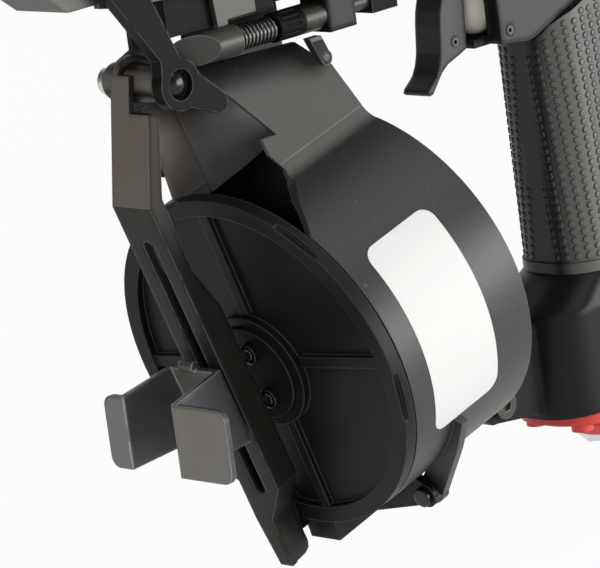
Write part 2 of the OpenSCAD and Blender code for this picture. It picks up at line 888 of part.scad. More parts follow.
module rear_bracket() color("black") difference() {
    union() {
        in_drum()
            translate([0, 0, drum_depth])
                linear_extrude(3)
                    polygon([[-55.5, -22], [-24, -30], [-24, 10], [-50, 18]]);
        plate_y(8, 11)
            polygon([[150.4, -182], [146, -165], [168, -172], [191, -184], [191, -199],
                [172, -198]]);
    }
    rod_along_y(7, 12, 3.1, 183, -191);
}

module bracket_bolt() color("black") {
    rod_along_y(-9, 14, 3, 183, -191);
    difference() {
        rod_along_y(-10.5, -8, 5, 183, -191);
        rod_along_y(-12, -9, 2.6, 183, -191, $fn = 6);
    }
    rod_along_y(11, 15, 5, 183, -191, $fn = 6);
}

// Latch blade that narrows to its pivot
module cover_latch() color("#5d5e5c") difference() {
    plate_y(-20, -17) {
        polygon([[102.6, -41.6], [108.2, -41.6], [112, -49.4], [107.2, -50.6]]);
        translate([latch_x, latch_z])
            circle(2.6);
    }
    rod_along_y(-21, -16, latch_r + 0.06, latch_x, latch_z);
    rod_along_y(-21, -19.1, 1.9, latch_x, latch_z);
}

module latch_pin() color("silver")
    rod_along_y(-20, -19.2, 1.8, latch_x, latch_z);

// Inside the canister
module coil_post() color(steel) in_drum()
    translate([hub_u, hub_w, 3]) {
        cylinder(h = drum_depth - 6, r = 7);
        cylinder(h = drum_depth - 3, r = 4);
    }

module nail_platform() color("#303234") in_drum()
    translate([hub_u, hub_w, 10])
        difference() {
            union() {
                cylinder(h = 3, r = 46);
                cylinder(h = 9, r = 11);
            }
            translate([0, 0, -1])
                cylinder(h = 12, r = 7 + gap);
        }

// Feed mechanism on the far side of the chute
module feed_cylinder() color(casting) difference() {
    union() {
        rod_along_z(-80, -50, 9.6, feed_x, feed_y);
        box([feed_x - 9, 12, -80], [feed_x + 9, feed_y, -50]);
    }
    rod_along_z(-77, -53, 6.56, feed_x, feed_y);
    rod_along_z(-54, -49, 2.56, feed_x, feed_y);
}

module feed_piston() color("silver") {
    rod_along_z(-66, -61, 6.5, feed_x, feed_y);
    rod_along_z(-61.5, -42, 2.5, feed_x, feed_y);
}

module feed_pawl() color(steel)
    plate_y(6.6, feed_y + 4)
        polygon([[feed_x - 4, -42], [feed_x + 4, -42], [feed_x + 4, -38], [feed_x - 4, -36]]);

module feed_spring() color("gray")
    translate([feed_x, feed_y, -76.9])
        rotate([0, -90, 0])
            wound_spring(10.8, 4.6, 2, 1);

// Trigger group
// Finger face of the trigger, from its top to its tip
finger_face = [[182.4, -42], [180.8, -45.5], [179.3, -49.5], [178.4, -54], [177.7, -59.5],
    [177.1, -64], [175.8, -68], [173.8, -71.2], [171.4, -73.2], [169.2, -74.8]];
module trigger() color("#4a4b4d") difference() {
    plate_y(-trigger_w / 2, trigger_w / 2)
        polygon(concat([[184, -37.5]], finger_face, [[168.5, -76.2], [169.4, -77], [171, -76.6],
            [174.2, -73], [176.7, -70.2], [180, -68], [186.1, -66], [190, -64.6], [190.8, -55.7],
            [191.5, -47.8], [191.3, -43], [188.5, -37.5]]));
    plate_y(-4.4, 4.4) {
        polygon([[185.6, -30], [184.8, -42], [181.6, -55], [180.6, -62], [183, -64], [200, -63.6],
            [200, -30]]);
        polygon([[150, -39.2], [200, -39.2], [200, -30], [150, -30]]);
    }
    rod_along_y(-8, 8, 2.06, pivot_x, pivot_z);
    rod_along_y(-8, 8, 1.6, lever_x, lever_z);
}

module trigger_pin() color("silver")
    rod_along_y(-9.8, 9.8, 2, pivot_x, pivot_z);

module trigger_lever() color(steel) difference() {
    plate_y(-4.1, 4.1) {
        polygon([[189.6, -36.6], [191.2, -36.6], [191, -48], [187, -60.5], [184.5, -59], [189.4, -46.5]]);
        translate([lever_x, lever_z])
            circle(2.5);
    }
    rod_along_y(-6, 6, 1.66, lever_x, lever_z);
}

module lever_pin() color("silver") difference() {
    rod_along_y(-6.3, 6.3, 1.6, lever_x, lever_z);
    rod_along_y(-8, 8, 0.8, lever_x, lever_z);
}

// Roll pin that holds the trigger valve in the neck
module valve_pin() color("silver") difference() {
    rod_along_y(-14.8, -6.6, 1.6, 203.7, -60.8);
    rod_along_y(-16, -6, 0.8, 203.7, -60.8);
}

module valve_cap() color("#cdbf9f") difference() {
    union() {
        rod_along_z(valve_z, -37, valve_r, valve_x);
        translate([valve_x, 0, valve_z])
            sphere(valve_r);
    }
    rod_along_x(190, valve_x + 1, 1.98, 0, stem_z);
}

module valve_stem() color("silver")
    rod_along_x(191.1, valve_x - 3, 1.9, 0, stem_z);

// Grip, cap and inlet
module grip() color(rubber) difference() {
    union() {
        translate([0, 0, grip_low])
            linear_extrude(109)
                round_rect(grip_x, grip_x + grip_d, grip_w / 2, 14);
        translate([0, 0, grip_low])
            linear_extrude(4)
                round_rect(grip_x - 1, grip_x + grip_d + 1, grip_w / 2 + 1, 15);
    }
    translate([0, 0, grip_low - 1])
        linear_extrude(112)
            round_rect(grip_x + grip_t, grip_x + grip_d - grip_t, grip_w / 2 - grip_t, 12);
    plate_y(-30, 30)
        polygon([[grip_x - 10, -69.2], [grip_x, -69.2], [225.4, -64], [229, -61.6], [234, -59.6],
            [239, -57.6], [270, -45.2], [270, 0], [grip_x - 10, 0]]);
}

module end_cap() color("#d8232a") difference() {
    union() {
        translate([0, 0, foot_low - cap_t])
            linear_extrude(cap_t)
                round_rect(211, 267.5, 21, 18);
        rod_along_z(foot_low - 9.5, foot_low - cap_t + 1, 17, inlet_x);
        translate([inlet_x, 0, foot_low - 14])
            cylinder(h = 4.5, r1 = 13.4, r2 = 17);
    }
    rod_along_z(foot_low - 19, foot_low + 1, 9.55, inlet_x);
    for (x = cap_screw_x, y = [-11, 11])
        rod_along_z(foot_low - 7, foot_low + 1, 2.5, x, y);
    for (y = [-11, 11])
        rod_along_z(foot_low - 20, foot_low - cap_t, 4.3, cap_screw_x[1], y);
}

module end_cap_screws() color("black")
    for (x = cap_screw_x, y = [-11, 11])
        translate([x, y, foot_low - cap_t])
            rotate([0, 90, 0])
                screw_x(3, 0, -16, 4, 2.4, 2.2);

module inlet_bushing() color("silver") difference() {
    union() {
        rod_along_z(foot_low - 14, foot_low - 1, 9.5, inlet_x);
        rod_along_z(foot_low - 17, foot_low - 14, 12.5, inlet_x, $fn = 6);
    }
    rod_along_z(foot_low - 18, foot_low, inlet_r, inlet_x);
}

body_housing();
cylinder_sleeve();
bumper();
piston();
piston_ring();
driver_blade();
head_valve();
head_valve_spring();
head_cap();
cap_gasket();
cap_bolts();
exhaust_deflector();
deflector_bolt();
nose_body();
nose_bolts();
contact_foot();
contact_link();
contact_rod();
rod_sleeve();
contact_spring();
depth_dial();
dial_ring();
link_foot();
near_arm();
far_arm();
arm_screws();
gauge_pin();
pin_sleeve();
pin_clip();
gauge_bar();
bar_screw();
shingle_gauge();
gauge_clamp();
canister_bottom_drilled();  // canister_bottom
hub_plate();
hub_screws();
magazine_base();
magazine_cover();
cover_hinge_pin();
rear_bracket();
bracket_bolt();
cover_latch();
latch_pin();
coil_post();
nail_platform();
feed_cylinder();
feed_piston();
feed_pawl();
feed_spring();
trigger();
trigger_pin();
trigger_lever();
lever_pin();
valve_pin();
valve_cap();
valve_stem();
grip();
end_cap();
end_cap_screws();
inlet_bushing();
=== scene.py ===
# %% [markdown]
# # A coil roofing nailer, dressed for the studio
# The tool comes as a frame of CAD solids at their real size, in metres. This lesson gives each
# solid its finish and adds what is too fine for the solids: the pimples of the rubber grip, the
# round wire of the springs and the blank sticker on the drum. Nothing that the frame holds is
# moved, so every new piece takes its place from the frame.

# %% Load the frame
import json
import math

import bpy
from mathutils import Matrix, Vector


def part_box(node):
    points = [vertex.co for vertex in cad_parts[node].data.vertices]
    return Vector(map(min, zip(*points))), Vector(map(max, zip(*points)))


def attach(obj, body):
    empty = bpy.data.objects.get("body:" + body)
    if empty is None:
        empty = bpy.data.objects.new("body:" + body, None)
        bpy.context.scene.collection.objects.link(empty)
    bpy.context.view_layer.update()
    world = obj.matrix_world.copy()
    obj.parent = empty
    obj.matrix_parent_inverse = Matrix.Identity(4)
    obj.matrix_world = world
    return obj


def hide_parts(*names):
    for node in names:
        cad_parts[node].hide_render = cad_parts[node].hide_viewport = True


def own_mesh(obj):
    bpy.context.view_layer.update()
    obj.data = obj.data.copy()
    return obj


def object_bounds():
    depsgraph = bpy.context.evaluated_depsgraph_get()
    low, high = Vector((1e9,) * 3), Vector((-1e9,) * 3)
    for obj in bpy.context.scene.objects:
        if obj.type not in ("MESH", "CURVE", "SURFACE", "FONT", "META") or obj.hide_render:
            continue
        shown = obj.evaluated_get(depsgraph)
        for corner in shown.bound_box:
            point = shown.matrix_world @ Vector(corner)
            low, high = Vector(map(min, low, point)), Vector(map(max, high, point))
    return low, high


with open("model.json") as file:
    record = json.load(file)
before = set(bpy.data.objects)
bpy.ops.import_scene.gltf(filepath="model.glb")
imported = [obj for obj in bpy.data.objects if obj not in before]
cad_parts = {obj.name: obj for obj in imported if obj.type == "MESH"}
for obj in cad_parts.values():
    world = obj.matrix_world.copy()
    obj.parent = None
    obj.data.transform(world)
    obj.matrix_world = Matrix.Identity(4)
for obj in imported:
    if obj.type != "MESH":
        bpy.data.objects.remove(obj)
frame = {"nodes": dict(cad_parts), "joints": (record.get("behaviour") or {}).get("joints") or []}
nodes = frame["nodes"]
cad_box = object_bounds()
mm = 0.001

# %% [markdown]
# ## Camera
# A camera could be placed by eye, but then no edge would fall where the photograph has it. The
# turn, rise and roll here were fitted to the round drum and the straight bar, which fix them well.
# The lens is long, so near and far parts keep almost the same scale.

# %% Camera
view_turn = math.radians(-43.0)
view_rise = math.radians(13.0)
view_roll = math.radians(-7.75)
view_distance = 1.5
aim = Vector((72.7, -10.0, -145.4)) * mm
aim_right = 11.4 * mm
aim_up = 26.0 * mm
focal_px = 4505
photo_width_px = 600
sensor_mm = 36

towards_camera = Vector((
    math.sin(view_turn) * math.cos(view_rise),
    -math.cos(view_turn) * math.cos(view_rise),
    math.sin(view_rise),
))
level_right = Vector((math.cos(view_turn), math.sin(view_turn), 0))
level_up = towards_camera.cross(level_right)
right = level_right * math.cos(view_roll) + level_up * math.sin(view_roll)
up = level_up * math.cos(view_roll) - level_right * math.sin(view_roll)

camera_data = bpy.data.cameras.new("camera")
camera_data.sensor_width = sensor_mm
camera_data.lens = sensor_mm * focal_px / photo_width_px
camera = bpy.data.objects.new("camera", camera_data)
camera_place = aim + towards_camera * view_distance + right * aim_right + up * aim_up
camera_turn = Matrix((right, up, towards_camera)).transposed()
camera.matrix_world = Matrix.Translation(camera_place) @ camera_turn.to_4x4()
bpy.context.scene.collection.objects.link(camera)
bpy.context.scene.camera = camera
print(f"lens {camera_data.lens:.1f} mm at {view_distance} m")

# %% [markdown]
# ## Writing shaders as sums
# A material is a graph of nodes, and graphs written node by node are hard to read. This class
# wraps one socket, so that `1 - mask` or `grain * 0.2` adds the Math nodes by itself. Any other
# node comes from `make`, which takes its type, its settings and its sockets.

# %% One wire of a material
class Wire:
    """An output socket whose arithmetic adds nodes to the material."""

    def __init__(self, tree, socket):
        self.tree = tree
        self.socket = socket

    def make(self, kind, settings, sockets, output=0):
        node = self.tree.nodes.new(kind)
        stops = settings.get("stops")
        for key, value in settings.items():
            if key != "stops":
                setattr(node, key, value)
        if stops:
            ramp = node.color_ramp.elements
            while len(ramp) < len(stops):
                ramp.new(0.5)
            for element, (place, colour) in zip(ramp, stops):
                element.position = place
                element.color = (*colour, 1)
        for key, value in sockets.items():
            if isinstance(value, Wire):
                self.tree.links.new(value.socket, node.inputs[key])
            else:
                node.inputs[key].default_value = value
        return Wire(self.tree, node.outputs[output])

    def sum_of(self, operation, first, second):
        return self.make("ShaderNodeMath", {"operation": operation}, {0: first, 1: second})

    def __add__(self, other):
        return self.sum_of("ADD", self, other)

    def __radd__(self, other):
        return self.sum_of("ADD", other, self)

    def __sub__(self, other):
        return self.sum_of("SUBTRACT", self, other)

    def __rsub__(self, other):
        return self.sum_of("SUBTRACT", other, self)

    def __mul__(self, other):
        return self.sum_of("MULTIPLY", self, other)

    def __rmul__(self, other):
        return self.sum_of("MULTIPLY", other, self)

    def __pow__(self, other):
        return self.sum_of("POWER", self, other)

    def __rpow__(self, other):
        return self.sum_of("POWER", other, self)

    def spread(self, low, high):
        """0 below low, 1 above high, straight in between."""
        return self.make("ShaderNodeMapRange", {"clamp": True}, {0: self, 1: low, 2: high})

    def noise(self, scale, detail=3.0):
        """Soft noise, with so many lumps to a metre, read at this place."""
        sockets = {"Vector": self, "Scale": scale, "Detail": detail}
        return self.make("ShaderNodeTexNoise", {}, sockets)

    def stretched(self, x, y, z):
        """This place with its axes scaled, so that noise on it becomes streaks."""
        settings = {"operation": "MULTIPLY"}
        return self.make("ShaderNodeVectorMath", settings, {0: self, 1: (x, y, z)})

    def axis(self, name):
        """One coordinate of this place: X, Y or Z."""
        return self.make("ShaderNodeSeparateXYZ", {}, {0: self}, name)

    def tint(self, first, second):
        """A colour that goes from first to second as this value goes from 0 to 1."""
        sockets = {0: self}
        for slot, colour in ((6, first), (7, second)):
            sockets[slot] = colour if isinstance(colour, Wire) else (*colour, 1)
        return self.make("ShaderNodeMix", {"data_type": "RGBA"}, sockets, 2)


# %% [markdown]
# ## What every finish shares
# The solids have sharp edges, and no real edge is sharp: a thin line of light along an edge is
# what makes paint look like paint on metal. A Bevel node bends the normals near an edge, and the
# angle between those and the plain ones says where the edge is, so the same node also places the
# wear.

# %% Shared parts of the finishes
bevel_rays = 6
finishes = {}


def start_finish(name, **fixed):
    """A new material; the fixed numbers and colours are set straight on its shader."""
    material = bpy.data.materials.new(name)
    material.use_nodes = True
    tree = material.node_tree
    shader = tree.nodes["Principled BSDF"]
    for key, value in fixed.items():
        socket = shader.inputs[key.replace("_", " ")]
        socket.default_value = (*value, 1) if isinstance(value, tuple) else value
    finishes[name] = material
    print(f"finish {name}")
    place = Wire(tree, tree.nodes.new("ShaderNodeTexCoord").outputs["Object"])
    return shader, place


def plug(shader, **wires):
    for key, wire in wires.items():
        wire.tree.links.new(wire.socket, shader.inputs[key.replace("_", " ")])


def rounded(place, radius):
    """Normals as if every sharp edge had this radius."""
    return place.make("ShaderNodeBevel", {"samples": bevel_rays}, {"Radius": radius}, "Normal")


def edges(place, soft):
    """0 on the faces, rising towards 1 along the sharp edges."""
    plain = place.make("ShaderNodeNewGeometry", {}, {}, "Normal")
    settings = {"operation": "DOT_PRODUCT"}
    return 1 - place.make("ShaderNodeVectorMath", settings, {0: soft, 1: plain}, "Value")


def facing(place, x, y, z):
    """1 on the faces that look this way, falling to 0 on those that look aside."""
    plain = place.make("ShaderNodeNewGeometry", {}, {}, "Normal")
    settings = {"operation": "DOT_PRODUCT"}
    return place.make("ShaderNodeVectorMath", settings, {0: plain, 1: (x, y, z)}, "Value")


def bumped(height, depth, soft, strength=1.0):
    """Normals of a relief this deep, laid over the soft edges."""
    sockets = {"Strength": strength, "Distance": depth, "Height": height, "Normal": soft}
    return height.make("ShaderNodeBump", {}, sockets)


# %% [markdown]
# ## Painted casting
# The body is an aluminium casting with satin black paint. Its paint has a fine orange peel, and
# it thins out along the edges, where the grey of the undercoat shows. On the sides of the neck,
# above the grip, a painted sheen makes it paler. That could be painted by hand as a map, but a mask
# from the place and the direction of the surface needs no map and stays sharp at any size.

# %% Painted casting
def painted_casting():
    shader, place = start_finish("painted_casting", Specular_IOR_Level=0.17)
    soft = rounded(place, 3 * mm)
    peel = place.noise(900)
    cloud = place.noise(45)
    sharp = rounded(place, 0.6 * mm)
    worn = edges(place, sharp).spread(0.02, 0.25) * place.noise(160).spread(0.35, 0.65)
    paint = cloud.tint((0.008, 0.008, 0.0083), (0.013, 0.013, 0.013))
    undercoat = (0.16, 0.16, 0.155)
    high = place.axis("Z")
    neck = high.spread(-100 * mm, -70 * mm) * high.spread(-30 * mm, -37 * mm)
    neck = neck * place.axis("X").spread(185 * mm, 195 * mm)
    side = facing(place, 0, -1, 0)
    # Painted sheen: neck faces that look sideways get a paler paint, as if they caught the light.
    handling_and_sheen = neck * side.make("ShaderNodeMath", {"operation": "ABSOLUTE"}, {0: side})
    paint = handling_and_sheen.tint(paint, (0.040, 0.040, 0.038))
    plug(
        shader,
        Base_Color=(worn * 0.55).tint(paint, undercoat),
        Roughness=0.29 + peel * 0.12,
        Normal=bumped(peel, 0.05 * mm, soft, 0.5),
    )


painted_casting()

# %% [markdown]
# ## Grip rubber
# The grip is a moulded rubber sleeve with a fine grain from the mould. Rubber is dark and dull, but
# a painted sheen makes it pale on both sides towards the front. Two masks find those places by the
# way that the surface looks, so the front and the back stay dark.

# %% Grip rubber
def grip_rubber():
    shader, place = start_finish("grip_rubber", Specular_IOR_Level=0.36)
    soft = rounded(place, 0.5 * mm)
    grain = place.noise(2600, 2)
    handling_and_sheen = place.noise(30)
    # Painted sheen: the faces towards the front on both sides get a pale paint, as if lit.
    near = facing(place, -0.5, -0.87, 0).spread(0.72, 0.90)
    far = facing(place, -0.5, 0.87, 0).spread(0.72, 0.90)
    plain = handling_and_sheen.tint((0.012, 0.012, 0.0115), (0.020, 0.020, 0.019))
    plug(
        shader,
        Base_Color=(near + far).tint(plain, (0.120, 0.121, 0.112)),
        Roughness=0.40 + grain * 0.12 - handling_and_sheen * 0.06,
        Normal=bumped(grain, 0.04 * mm, soft, 0.6),
    )


grip_rubber()

# %% [markdown]
# ## Sheet of the drum
# The drum's cover is rolled from sheet steel and painted a dark satin grey. Fingers and nails leave
# faint clouds, small specks and a few hair scratches in it, and its cut edges are bright. The flat
# wall of the chute has a paler painted sheen. It is found by its plane, in the coordinates of the
# cover, so the mask turns with the cover when it opens. A slow bump lets the wall's upper edge roll
# inwards.

# %% Sheet of the drum
wall_outward = (-0.119, -0.888, 0.445)
wall_plane = -22.5 * mm


def drum_sheet():
    shader, place = start_finish("drum_sheet", Specular_IOR_Level=0.45)
    soft = rounded(place, 0.5 * mm)
    cloud = place.noise(38)
    peel = place.noise(1300, 2)
    specks = place.noise(520, 1).spread(0.74, 0.78)
    hair = place.stretched(60, 900, 900).noise(1, 2).spread(0.80, 0.84)
    worn = edges(place, soft).spread(0.03, 0.3)
    high = place.axis("Z")
    rolled_edge = high.spread(-57 * mm, -43 * mm) ** 2
    settings = {"operation": "DOT_PRODUCT"}
    out = place.make("ShaderNodeVectorMath", settings, {0: place, 1: wall_outward}, "Value")
    above = out - wall_plane
    flat_wall = above.spread(-3.5 * mm, -1.5 * mm) * above.spread(3.5 * mm, 1.5 * mm)
    # Painted sheen: the middle of the chute's flat wall is made paler, as if it caught the light.
    rubbed_and_sheen = flat_wall * high.spread(-88 * mm, -80 * mm) * high.spread(-46 * mm, -56 * mm)
    paint = cloud.tint((0.026, 0.026, 0.0235), (0.038, 0.038, 0.0345))
    paint = rubbed_and_sheen.tint(paint, (0.088, 0.0885, 0.0815))
    marked = ((specks + hair) * 0.3).tint(paint, (0.22, 0.22, 0.20))
    plug(
        shader,
        Base_Color=(worn * 0.6).tint(marked, (0.30, 0.30, 0.28)),
        Roughness=0.36 + cloud * 0.10 + peel * 0.05,
        Normal=bumped(1 - rolled_edge, 7 * mm, bumped(peel, 0.03 * mm, soft, 0.4)),
    )


drum_sheet()

# %% [markdown]
# ## Black plastic
# The ribbed disc, its hub, the air deflector and the nail platform are moulded in black nylon:
# darker than the paint, with a faint grain, and rubbed a little lighter on the proud edges. The
# Bevel node that rounds those edges also tells where they are, so one node does both.

# %% Black plastic
def black_plastic():
    shader, place = start_finish("black_plastic", Specular_IOR_Level=0.14)
    soft = rounded(place, 0.9 * mm)
    grain = place.noise(2000, 2)
    cloud = place.noise(25)
    rubbed_and_sheen = edges(place, soft).spread(0.02, 0.3)
    plain = cloud.tint((0.008, 0.008, 0.008), (0.014, 0.014, 0.0135))
    plug(
        shader,
        Base_Color=(rubbed_and_sheen * 0.7).tint(plain, (0.13, 0.127, 0.118)),
        Roughness=0.40 + grain * 0.10 - cloud * 0.05,
        Normal=bumped(grain, 0.03 * mm, soft, 0.5),
    )


black_plastic()

# %% [markdown]
# ## Blackened steel
# The bar, the gauge, the arms, the rod and the dial are steel with a black oxide skin. The oxide
# is thin: the steel glints through along every edge, and rolling leaves faint streaks and brown
# clouds. The bar and the gauge are paler on the faces that look the given front way: partly wear,
# partly a painted sheen on the faces that catch the light. One function makes them all, because
# only the shades and the grain differ.

# %% Blackened steel
def oxide_steel(name, dark, pale, edge, rough, streaks, metal, gloss, bend, front):
    shader, place = start_finish(name, Metallic=metal, Specular_IOR_Level=gloss)
    soft = rounded(place, bend)
    rolled = place.stretched(*streaks).noise(1, 4)
    cloud = place.noise(32)
    brown = place.noise(55).spread(0.45, 0.7)
    # Partly wear and partly painted sheen: faces that look the given front way turn pale.
    rubbed_and_sheen = facing(place, *front).spread(0.80, 0.97)
    sharp = rounded(place, 0.7 * mm)
    worn = edges(place, sharp).spread(0.02, 0.20) * place.noise(210).spread(0.25, 0.5)
    skin = (rolled * 0.08 + cloud * 0.08 + rubbed_and_sheen * 0.65).tint(dark, pale)
    settings = {"data_type": "RGBA", "blend_type": "MULTIPLY"}
    stained = skin.make("ShaderNodeMix", settings, {0: brown, 6: skin, 7: (1, 0.91, 0.80, 1)}, 2)
    plug(
        shader,
        Base_Color=(worn * 0.8).tint(stained, edge),
        Roughness=rough + rolled * 0.12,
        Normal=bumped(rolled, 0.03 * mm, soft, 0.4),
    )


oxide_steel(
    "bar_steel", dark=(0.007, 0.007, 0.0068), pale=(0.27, 0.245, 0.215), edge=(0.30, 0.29, 0.275),
    rough=0.36, streaks=(300, 300, 60), metal=0.1, gloss=0.14, bend=2.2 * mm, front=(-0.95, 0, 0.3))
oxide_steel(
    "gauge_steel", dark=(0.085, 0.088, 0.098), pale=(0.33, 0.322, 0.297), edge=(0.75, 0.75, 0.75),
    rough=0.30, streaks=(80, 80, 260), metal=0.4, gloss=0.4, bend=2.2 * mm, front=(-0.9, 0, -0.43))
oxide_steel(
    "arm_steel", dark=(0.008, 0.008, 0.008), pale=(0.014, 0.014, 0.014), edge=(0.30, 0.29, 0.28),
    rough=0.36, streaks=(200, 200, 60), metal=0.0, gloss=0.05, bend=1.0 * mm, front=(0, 0, 0))
oxide_steel(
    "dial_black", dark=(0.006, 0.006, 0.006), pale=(0.010, 0.010, 0.010),
    edge=(0.035, 0.035, 0.034), rough=0.45, streaks=(200, 200, 60), metal=0.0, gloss=0.05,
    bend=0.5 * mm, front=(0, 0, 0))
oxide_steel(
    "rod_steel", dark=(0.055, 0.054, 0.050), pale=(0.17, 0.16, 0.148), edge=(0.40, 0.39, 0.36),
    rough=0.36, streaks=(60, 500, 500), metal=0.4, gloss=0.3, bend=0.6 * mm, front=(0, 0, 0))

# %% [markdown]
# ## Sheet of the chute
# The fixed half of the magazine is black sheet. Inside the chute the nails slide along it and rub
# it grey, a little browner near the nose. The mask is a band between two heights, which is where
# the nails run.

# %% Sheet of the chute
def chute_sheet():
    shader, place = start_finish("chute_sheet", Specular_IOR_Level=0.15)
    soft = rounded(place, 0.5 * mm)
    cloud = place.noise(60)
    high = place.axis("Z")
    slid = high.spread(-112 * mm, -80 * mm) * high.spread(-56 * mm, -66 * mm)
    brown = place.axis("X").spread(72 * mm, 66 * mm)
    rubbed_and_sheen = brown.tint((0.22, 0.22, 0.22), (0.26, 0.22, 0.195))
    worn = edges(place, soft).spread(0.03, 0.3)
    skin = (slid * (0.7 + cloud * 0.5)).tint((0.010, 0.010, 0.010), rubbed_and_sheen)
    plug(
        shader,
        Base_Color=(worn * 0.6).tint(skin, (0.25, 0.24, 0.23)),
        Roughness=0.34 + cloud * 0.12,
        Normal=soft,
    )


chute_sheet()

# %% [markdown]
# ## Bright steel, alloy and spring wire
# Small parts without a skin are plain metal: ground pins, the clip, turned alloy and drawn wire.
# Turning and drawing leave fine lines, so the noise is stretched along them. A map of scratches
# would do the same, but it would need its own unwrapped mesh.

# %% Bright metals
def bright_metal(name, dark, pale, rough, streaks):
    shader, place = start_finish(name, Metallic=1.0)
    soft = rounded(place, 0.3 * mm)
    lines = place.stretched(*streaks).noise(1, 3)
    plug(
        shader,
        Base_Color=lines.tint(dark, pale),
        Roughness=rough + lines * 0.14,
        Normal=bumped(lines, 0.01 * mm, soft, 0.4),
    )


bright_metal("bright_steel", dark=(0.50, 0.49, 0.47), pale=(0.66, 0.65, 0.62), rough=0.22,
             streaks=(900, 900, 900))
bright_metal("turned_alloy", dark=(0.62, 0.62, 0.63), pale=(0.76, 0.76, 0.77), rough=0.24,
             streaks=(200, 200, 2500))
bright_metal("spring_wire", dark=(0.10, 0.10, 0.10), pale=(0.20, 0.20, 0.195), rough=0.20,
             streaks=(600, 600, 600))
bright_metal("worn_ring", dark=(0.035, 0.033, 0.029), pale=(0.085, 0.080, 0.070), rough=0.38,
             streaks=(900, 150, 150))

# %% [markdown]
# ## Black screws
# Screws are oil-blackened and stay a little wet: almost black, with small sharp highlights. A wide
# bevel makes their flat heads look domed, which gives each a round glint.

# %% Black screws
def black_screw():
    shader, place = start_finish("black_screw", Specular_IOR_Level=0.3)
    soft = rounded(place, 1.2 * mm)
    oil = place.noise(400)
    worn = edges(place, soft).spread(0.03, 0.3)
    plain = oil.tint((0.006, 0.006, 0.006), (0.012, 0.012, 0.0115))
    plug(
        shader,
        Base_Color=(worn * 0.3).tint(plain, (0.20, 0.19, 0.18)),
        Roughness=0.12 + oil * 0.08,
        Normal=soft,
    )


black_screw()

# %% [markdown]
# ## Coloured plastics
# The cap under the handle is red, the valve cap is an oil-stained ivory, and the trigger is a grey
# moulding. Plastic scatters light below its skin, which a little roughness and a cloudy colour
# stand for here.

# %% Coloured plastics
def moulded(name, dark, pale, rough, speck, gloss, bend):
    shader, place = start_finish(name, Specular_IOR_Level=gloss)
    soft = rounded(place, bend)
    cloud = place.noise(60)
    grain = place.noise(1800, 2)
    worn = edges(place, soft).spread(0.03, 0.3)
    plug(
        shader,
        Base_Color=(worn * speck).tint(cloud.tint(dark, pale), (0.5, 0.5, 0.48)),
        Roughness=rough + grain * 0.08,
        Normal=bumped(grain, 0.03 * mm, soft, 0.4),
    )


moulded("red_plastic", dark=(0.86, 0.070, 0.055), pale=(0.94, 0.095, 0.075), rough=0.36,
        speck=0.1, gloss=0.45, bend=1.2 * mm)
moulded("ivory_plastic", dark=(0.58, 0.53, 0.45), pale=(0.76, 0.72, 0.64), rough=0.42,
        speck=0.1, gloss=0.45, bend=0.7 * mm)
moulded("trigger_grey", dark=(0.013, 0.013, 0.0125), pale=(0.020, 0.020, 0.019), rough=0.34,
        speck=0.15, gloss=0.3, bend=1.8 * mm)
moulded("gasket_board", dark=(0.10, 0.075, 0.055), pale=(0.15, 0.115, 0.085), rough=0.7,
        speck=0.0, gloss=0.3, bend=0.3 * mm)

# %% [markdown]
# ## Sticker
# The drum carries a blank sticker of white film. Film lies flat but never quite even, so a faint
# noise bends its normals. It is dull, because a glossy white would clip under the lamps.

# %% Sticker film
def sticker_film():
    shader, place = start_finish("sticker_film", Specular_IOR_Level=0.15)
    wave = place.noise(70)
    plug(
        shader,
        Base_Color=wave.tint((0.82, 0.815, 0.80), (0.86, 0.855, 0.84)),
        Roughness=0.55 + wave * 0.1,
        Normal=bumped(wave, 0.05 * mm, rounded(place, 0.2 * mm), 0.3),
    )


sticker_film()
print(f"{len(finishes)} finishes")

# %% [markdown]
# ## Dressing the solids
# Most solids already have the right shape and only need their finish. One list per finish keeps
# it easy to see what is made of what. The screws of the red cap are dressed in the cap's colour.

# %% Dress the solids
dress = {
    "painted_casting": ["body_housing", "head_cap", "feed_cylinder"],
    "grip_rubber": ["grip", "bumper", "piston_ring"],
    "drum_sheet": ["magazine_cover", "cover_latch"],
    "black_plastic": ["canister_bottom", "hub_plate", "exhaust_deflector", "nail_platform"],
    "dial_black": ["depth_dial"],
    "bar_steel": ["gauge_bar", "pin_sleeve"],
    "gauge_steel": ["shingle_gauge"],
    "arm_steel": ["near_arm", "far_arm", "nose_body", "link_foot", "rear_bracket"],
    "chute_sheet": ["magazine_base"],
    "rod_steel": ["rod_sleeve", "contact_rod", "contact_link", "contact_foot", "trigger_lever",
                  "feed_pawl", "driver_blade", "lever_pin", "valve_pin", "bracket_bolt"],
    "bright_steel": ["pin_clip", "trigger_pin", "coil_post"],
    "turned_alloy": ["inlet_bushing", "cylinder_sleeve", "piston", "feed_piston", "valve_stem"],
    "spring_wire": ["contact_spring", "head_valve_spring", "feed_spring"],
    "worn_ring": ["dial_ring"],
    "black_screw": ["cap_bolts", "nose_bolts", "deflector_bolt", "arm_screws", "gauge_pin",
                    "bar_screw", "gauge_clamp", "hub_screws", "cover_hinge_pin", "latch_pin"],
    "red_plastic": ["end_cap", "end_cap_screws"],
    "ivory_plastic": ["valve_cap", "head_valve"],
    "trigger_grey": ["trigger"],
    "gasket_board": ["cap_gasket"],
}
for finish, members in dress.items():
    for member in members:
        for slot in nodes[member].material_slots:
            slot.material = finishes[finish]
bare = set(nodes) - {member for members in dress.values() for member in members}
print(f"solids without a finish: {sorted(bare)}")

# %% [markdown]
# ## Making a piece
# A new piece is a mesh from a list of points and faces. It rides on a body of the frame and may
# stand for a solid.

